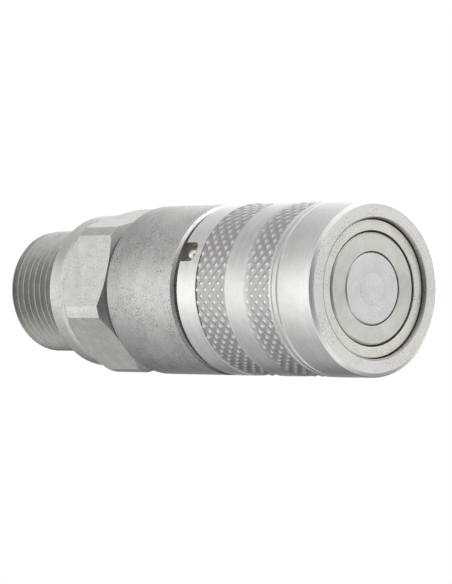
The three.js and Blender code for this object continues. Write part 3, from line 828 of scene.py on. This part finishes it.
def make_nose():
    """The nose tube, with its seal and stop ring grooves and a hole for each locking ball."""
    rear, face, outer = span("ball_cage")
    shoulder = span("rear_housing")[1] + 0.3
    section = [
        (rear, NOSE_BORE_R, 0.1), (rear, SPIGOT_R, 0.3), (shoulder, SPIGOT_R, 0.1), (shoulder, outer, 0.2),
        (face - 0.15, outer, 0.06), (face, outer - 0.15, 0.06), (face, NOSE_BORE_R + 0.08, 0.04),
        (face - 0.08, NOSE_BORE_R, 0.04),
    ]
    piece = lathe("ball_cage_surface", section)
    inner = NOSE_BORE_R - CUT_PAST
    seals_from, seals_to = centre("nose_backup_ring").x - 0.6, centre("nose_o_ring").x + 1.0
    ring_groove(piece, seals_from, seals_to, inner, SEAL_GROOVE_R)
    stop = centre("sleeve_stop_ring").x
    ring_groove(piece, stop - 0.7, stop + 0.7, STOP_GROOVE_R, outer + CUT_PAST)
    hole = [(inner, 0), (inner, BALL_HOLE_LIP_R), (NOSE_BORE_R, BALL_HOLE_LIP_R),
            (NOSE_BORE_R + 0.6, BALL_HOLE_R), (outer + CUT_PAST, BALL_HOLE_R), (outer + CUT_PAST, 0)]
    for k in range(1, BALL_COUNT + 1):
        at = centre(f"locking_ball_{k:02d}")
        cut(piece, radial_plug("tool", hole, at.x, height_deg(at)))
    place(piece, "coupler_body", "ball_cage", NOSE)


def make_valve():
    """A sleeve whose outside is coned, as the balls drop further the further it slides back."""
    rear, face, outer = span("valve_sleeve")
    ball_x = centre("locking_ball_01").x
    face_r = outer + BALL_DROP / VALVE_RATIO * ball_x + VALVE_FACE_EXTRA
    section = [
        (face, VALVE_LIP_R + 0.08, 0.05), (face, face_r - VALVE_CHAMFER, 0.08),
        (face - VALVE_CHAMFER, face_r, 0.08), (ball_x, outer, 0.5), (rear, outer, 0.2),
        (rear, VALVE_BORE_R, 0.2), (-VALVE_LIP_DEPTH, VALVE_BORE_R, 0.4),
        (-VALVE_LIP_DEPTH, VALVE_LIP_R, 0.1), (face - 0.08, VALVE_LIP_R, 0.05),
    ]
    place(lathe("valve_sleeve_surface", section), "valve", "valve_sleeve", VALVE)


def make_stem():
    """The fixed stem: a head with a seal groove and a scribed ring, a coned shaft and a thinner tail."""
    tail, face, _ = span("center_stem")
    shoulder = span("stem_spider")[1] + 0.3
    seal_from, seal_to = centre("stem_o_ring").x - 1.0, centre("stem_o_ring").x + 1.0
    section = [
        (tail, 0), (tail, STEM_TAIL_R, 0.3), (shoulder, STEM_TAIL_R, 0.1), (shoulder, STEM_SHAFT_R, 0.2),
        (-STEM_CONE_DEPTH, STEM_SHAFT_R, 1.5), (-STEM_HEAD_DEPTH, STEM_HEAD_R, 0.2),
        (seal_from, STEM_HEAD_R, 0.05), (seal_from, STEM_SEAL_R, 0.1), (seal_to, STEM_SEAL_R, 0.1),
        (seal_to, STEM_HEAD_R, 0.05), (face - STEM_CHAMFER, STEM_HEAD_R, 0.08),
        (face, STEM_HEAD_R - STEM_CHAMFER, 0.08), (face, STEM_RING_R + 0.1, 0),
        (face - 0.02, STEM_RING_R, 0), (face, STEM_RING_R - 0.1, 0), (face, 0),
    ]
    place(lathe("center_stem_surface", section), "coupler_body", "center_stem", STEM)


# ---------------------------------------------------------------- adapter

# One pitch of the thread: (share of the pitch, height from 0 at the root to 1 at the crest).
THREAD_PROFILE = [(0.0, 1.0), (0.07, 0.93), (0.22, 0.5), (0.37, 0.07), (0.44, 0.0),
                  (0.56, 0.0), (0.63, 0.07), (0.78, 0.5), (0.93, 0.93)]


def round_points(x, r, facets):
    angles = [2 * math.pi * j / facets for j in range(facets)]
    return [(x, r * math.cos(a), r * math.sin(a)) for a in angles]


def thread_row(k, start, facets):
    """One row of the thread, which moves on by a pitch in one turn and stays inside the chamfer."""
    share, level = THREAD_PROFILE[k % len(THREAD_PROFILE)]
    height = THREAD_ROOT_R + (THREAD_R - THREAD_ROOT_R) * level
    points = []
    for j in range(facets):
        x = start + THREAD_LEAD_IN + (share + k // len(THREAD_PROFILE) + j / facets) * THREAD_PITCH
        r = min(height, THREAD_R - THREAD_CHAMFER + (x - start) * THREAD_CHAMFER)
        a = 2 * math.pi * j / facets
        points.append((x, r * math.cos(a), r * math.sin(a)))
    return points


def thread_faces(grid, rear, front, mids, last, facets):
    """The faces between the rows, and the flat ends, each with a step where the helix starts or ends."""
    per = len(THREAD_PROFILE)

    def at(k, j):
        return grid[k + per][0] if j == facets else grid[k][j]

    faces = []
    for j in range(facets):
        n = (j + 1) % facets
        faces.append((mids[0], rear[j], rear[n]))
        faces.append((rear[j], at(0, j), at(0, j + 1), rear[n]))
        faces += [(at(k, j), at(k + 1, j), at(k + 1, j + 1), at(k, j + 1)) for k in range(last)]
        faces.append((at(last, j), front[j], front[n], at(last, j + 1)))
        faces.append((front[j], mids[1], front[n]))
    for k in range(per):
        faces.append((rear[0], grid[k + 1][0], grid[k][0]))
        faces.append((front[0], grid[last + k][0], grid[last + k + 1][0]))
    return faces


def thread(name, start, end, facets=144):
    """A right-hand external thread as a closed solid with flat ends."""
    turns = math.floor((end - start - THREAD_LEAD_IN) / THREAD_PITCH)
    last = (turns - 1) * len(THREAD_PROFILE)
    verts, grid = [], []
    for k in range(turns * len(THREAD_PROFILE) + 1):
        row = thread_row(k, start, facets)[:facets if k <= last else 1]
        grid.append(range(len(verts), len(verts) + len(row)))
        verts += row
    rear = range(len(verts), len(verts) + facets)
    front = range(rear.stop, rear.stop + facets)
    mids = (front.stop, front.stop + 1)
    verts += round_points(start, THREAD_R - THREAD_CHAMFER, facets)
    verts += round_points(end + THREAD_LEAD_IN, THREAD_ROOT_R, facets)
    verts += [(start, 0, 0), (end + THREAD_LEAD_IN, 0, 0)]
    return outward(new_piece(name, verts, thread_faces(grid, rear, front, mids, last, facets)))


def adapter_blank():
    """The turned blank of the adapter, from behind its thread to its spigot, without a bore."""
    return lathe("port_adapter_surface", [
        (THREAD_TO - 0.1, 0), (THREAD_TO - 0.1, THREAD_ROOT_R, 0), (COLLAR_FROM, THREAD_ROOT_R, 0.3),
        (COLLAR_FROM, COLLAR_R, 0.2), (HEX_FROM - 0.9, COLLAR_R, 0.2), (HEX_FROM, COLLAR_R - 0.26, 0),
        (HEX_FROM + 2.9, BODY_R, 0.4), (HEX_TO - 1.1, BODY_R, 0.25), (HEX_TO, 17.2, 0.1),
        (HEX_TO, NECK_R, 0.2), (NECK_TO, NECK_R, 0.1), (NECK_TO, SPIGOT_R, 0.2),
        (SPIGOT_TO, SPIGOT_R, 0.4), (SPIGOT_TO, 0),
    ])


def outside_hexagon():
    """All that lies outside the hexagon, as a ring with a hexagonal hole."""
    outer_r, end = 21, HEX_TO + 0.01
    corners = [(HEX_FROM, HEX_CHAMFER_R), (HEX_FROM, outer_r), (end, outer_r), (end, HEX_CHAMFER_R)]
    ring = lathe("outside", corners, radius=0)
    bar = hex_bar("tool", HEX_FROM - CUT_PAST, HEX_TO + CUT_PAST, HEX_ACROSS_FLATS, HEX_TURN_DEG)
    return cut(ring, bar)


def port_bore():
    """The port's coned mouth, its bore and the wider end inside the housing."""
    past_r = PORT_MOUTH_R + 0.15
    cone_to = PORT_END + (PORT_MOUTH_R - PORT_BORE_R) / math.tan(math.radians(PORT_MOUTH_DEG))
    return lathe("tool", [
        (PORT_END - CUT_PAST, 0), (PORT_END - CUT_PAST, past_r), (PORT_END, past_r),
        (PORT_END + 0.15, PORT_MOUTH_R - 0.03), (cone_to, PORT_BORE_R, 1.0),
        (SPIGOT_TO - 8.2, PORT_BORE_R, 1.0), (SPIGOT_TO, PORT_INNER_R),
        (SPIGOT_TO + CUT_PAST, PORT_INNER_R), (SPIGOT_TO + CUT_PAST, 0),
    ], radius=0)


def make_adapter():
    """Thread, collar, hexagon and neck in one piece, bored through."""
    piece = adapter_blank()
    cut(piece, outside_hexagon())
    cut(piece, thread("tool", PORT_END, THREAD_TO), "UNION")
    cut(piece, port_bore())
    seals_from, seals_to = centre("adapter_backup_ring").x - 0.6, centre("adapter_o_ring").x + 1.0
    ring_groove(piece, seals_from, seals_to, PORT_GROOVE_R, SPIGOT_R + 0.5)
    place(piece, "coupler_body", "port_adapter", ADAPTER, 22)


# ---------------------------------------------------------------- hidden pieces

def make_flat_ring(node, body, material):
    """A ring of rectangular section, as wide as its node's own box."""
    low, high, outer = span(node)
    inner = FLAT_RING_BORE_R[node]
    section = [(low, inner), (low, outer), (high, outer), (high, inner)]
    place(lathe(node + "_surface", section, 144, 0.1), body, node, material)


def make_o_ring(node):
    """A ring of round section. Its node is a hexagon in section, with corners on the round."""
    low, high, outer = span(node)
    half = (high - low) / 2 / math.cos(math.pi / 6)
    middle, mean = (low + high) / 2, outer - half
    turns = [2 * math.pi * k / 20 for k in range(20)]
    section = [(middle + half * math.cos(a), mean + half * math.sin(a), 0) for a in turns]
    place(lathe(node + "_surface", section, 144, 0.1), "coupler_body", node, RUBBER)


def make_stop_ring():
    """A split ring of flat wire."""
    low, high, outer = span("sleeve_stop_ring")
    section = [(low, STOP_RING_BORE_R), (low, outer), (high, outer), (high, STOP_RING_BORE_R)]
    piece = lathe("sleeve_stop_ring_surface", section, 144, 0.25)
    gap = hex_bar("tool", low - CUT_PAST, high + CUT_PAST, STOP_RING_GAP, 0)
    gap.data.transform(Matrix.Translation((0, 15 * MM, 0)))
    cut(piece, gap)
    place(piece, "coupler_body", "sleeve_stop_ring", WIRE)


def make_spider():
    """The disc that holds the stem, with a circle of flow holes."""
    low, high, outer = span("stem_spider")
    section = [(low, SPIDER_BORE_R, 0.2), (low, outer, 0.3), (high, outer, 0.3), (high, SPIDER_BORE_R, 0.2)]
    piece = lathe("stem_spider_surface", section, 144)
    bar = [(low - CUT_PAST, 0), (low - CUT_PAST, SPIDER_HOLE_R), (high + CUT_PAST, SPIDER_HOLE_R),
           (high + CUT_PAST, 0)]
    reach = SPIDER_HOLE_CIRCLE_R * MM
    for k in range(SPIDER_HOLES):
        a = 2 * math.pi * (k + 0.5) / SPIDER_HOLES
        hole = lathe("tool", bar, 36, 0)
        hole.data.transform(Matrix.Translation((0, reach * math.cos(a), reach * math.sin(a))))
        cut(piece, hole)
    place(piece, "coupler_body", "stem_spider", INNER)


def make_nut():
    """A hexagon nut, chamfered at both faces."""
    low, high, corner = span("stem_nut")
    section = [
        (low, SPIDER_BORE_R), (low, NUT_FACE_R), (low + NUT_CHAMFER, corner),
        (high - NUT_CHAMFER, corner), (high, NUT_FACE_R), (high, SPIDER_BORE_R),
    ]
    piece = lathe("stem_nut_surface", section, 96, 0)
    cut(piece, hex_bar("tool", low - CUT_PAST, high + CUT_PAST, NUT_ACROSS_FLATS, 0), "INTERSECT")
    place(piece, "coupler_body", "stem_nut", INNER)


def make_spring(node, mean, wire):
    """A coil spring between the housing and the body that it pushes, as long as its node."""
    low, high, _ = span(node)
    piece = helix(node + "_surface", low, high, mean, wire, SPRING_TURNS)
    place(piece, None, node, WIRE, 60)
    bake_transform(piece)


def make_balls():
    """The locking balls, each on its own body, and the sleeve's fixed lock ball."""
    for k in range(1, BALL_COUNT + 1):
        node = f"locking_ball_{k:02d}"
        piece = ball(node + "_surface", centre(node), BALL_R)
        place(piece, node, node, BEARING)
    piece = ball("sleeve_lock_ball_surface", centre("sleeve_lock_ball"), LOCK_BALL_R)
    place(piece, "coupler_body", "sleeve_lock_ball", LOCK_BALL)


make_sleeve()
make_housing()
make_nose()
make_valve()
make_stem()
make_adapter()
for seal_node in ("stem_o_ring", "nose_o_ring", "body_o_ring", "adapter_o_ring"):
    make_o_ring(seal_node)
for backup_node in ("nose_backup_ring", "adapter_backup_ring"):
    make_flat_ring(backup_node, "coupler_body", PTFE)
make_flat_ring("sleeve_spring_washer", "sleeve_slider", INNER)
make_stop_ring()
make_spider()
make_nut()
make_spring("sleeve_spring", mean=15.9, wire=0.75)
make_spring("valve_spring", mean=10.9, wire=0.7)
make_balls()


# ---------------------------------------------------------------- floor, light and camera

FLOOR_HALF = 4.0
FLOOR_GAP = 0.05


def make_floor():
    """A pale floor just under the barrel. Only the camera sees it, so it adds no light and no shadow."""
    level = -(BODY_R + FLOOR_GAP) * MM
    corners = [(x * FLOOR_HALF, y * FLOOR_HALF, level) for x, y in ((-1, -1), (1, -1), (1, 1), (-1, 1))]
    mesh = bpy.data.meshes.new("floor")
    mesh.from_pydata(corners, [], [(0, 1, 2, 3)])
    floor = bpy.data.objects.new("floor", mesh)
    bpy.context.scene.collection.objects.link(floor)
    material, n = new_material("pale_floor")
    n.surface(n.node("ShaderNodeEmission", {"Color": (1, 1, 1, 1), "Strength": 1.0}))
    mesh.materials.append(material)
    floor.visible_glossy = False
    floor.visible_diffuse = False
    floor.visible_transmission = False
    floor.visible_shadow = False


ROOM = 0.99
DARKEST = 0.04
# Soft lamps, and dark flags with a strength below 0, in the light that fills the room:
# (direction, cosine at the edge, cosine where it is full, strength).
LAMPS = [
    ((-0.756, -0.654, 0.02), 0.90, 1.0, 0.17),
    ((-0.75, 0.66, 0.20), 0.95, 0.995, 0.25),
    ((-0.70, 0.62, 0.45), 0.70, 0.96, 0.24),
    ((-0.10, 0.99, 0.08), 0.90, 0.985, 0.50),
    ((0.10, 0.66, 0.74), 0.70, 0.97, 0.40),
    ((-0.75, -0.05, 0.66), 0.60, 0.97, -0.51),
    ((0.74, 0.67, 0.05), 0.40, 0.97, -0.15),
    ((0.82, -0.57, 0.0), 0.58, 0.97, -0.82),
    ((-0.70, 0.10, -0.68), 0.60, 0.97, -0.59),
    ((-0.70, 0.64, -0.30), 0.80, 0.97, -0.32),
    ((0.10, 0.60, -0.79), 0.74, 0.97, -0.80),
]


def make_world():
    """A soft, even studio with its lamps and flags. The camera itself sees plain white."""
    world = bpy.data.worlds.new("studio")
    bpy.context.scene.world = world
    world.use_nodes = True
    n = Nodes(world.node_tree)
    way = n.node("ShaderNodeTexCoord").outputs["Generated"]
    total = ROOM
    for direction, edge, full, strength in LAMPS:
        inputs = {0: way, 1: tuple(Vector(direction).normalized())}
        cosine = n.node("ShaderNodeVectorMath", inputs, operation="DOT_PRODUCT").outputs["Value"]
        total = n.math("ADD", total, n.ramp(cosine, edge, full, 0.0, strength))
    total = n.math("MAXIMUM", total, DARKEST)
    seen = n.node("ShaderNodeLightPath").outputs["Is Camera Ray"]
    strength = n.math("ADD", n.times(total, n.math("SUBTRACT", 1.0, seen)), seen)
    sky = n.node("ShaderNodeBackground", {"Color": (1, 1, 1, 1), "Strength": strength}).outputs[0]
    n.node("ShaderNodeOutputWorld", {"Surface": sky})


CAMERA_DEG = 41.55
CAMERA_ROLL_DEG = 0.408
CAMERA_PLACE = (0.51865, -0.50124, -0.00051)
LENS = 209.1
CLIP_RANGE = (0.01, 20)


def make_camera():
    """A long-lens camera, level with the coupler's axis and rolled a little."""
    data = bpy.data.cameras.new("camera")
    data.lens = LENS
    data.clip_start, data.clip_end = CLIP_RANGE
    camera = bpy.data.objects.new("camera", data)
    bpy.context.scene.collection.objects.link(camera)
    a, roll = math.radians(CAMERA_DEG), math.radians(CAMERA_ROLL_DEG)
    level = Vector((math.sin(a), math.cos(a), 0))
    forward = Vector((-math.cos(a), math.sin(a), 0))
    up = Vector((0, 0, 1))
    right = level * math.cos(roll) - up * math.sin(roll)
    top = up * math.cos(roll) + level * math.sin(roll)
    turn = Matrix((right, top, -forward)).transposed()
    camera.matrix_world = Matrix.Translation(CAMERA_PLACE) @ turn.to_4x4()
    bpy.context.scene.camera = camera


make_floor()
make_world()
make_camera()
view = bpy.context.scene.view_settings
view.view_transform = "Standard"
view.look = "None"
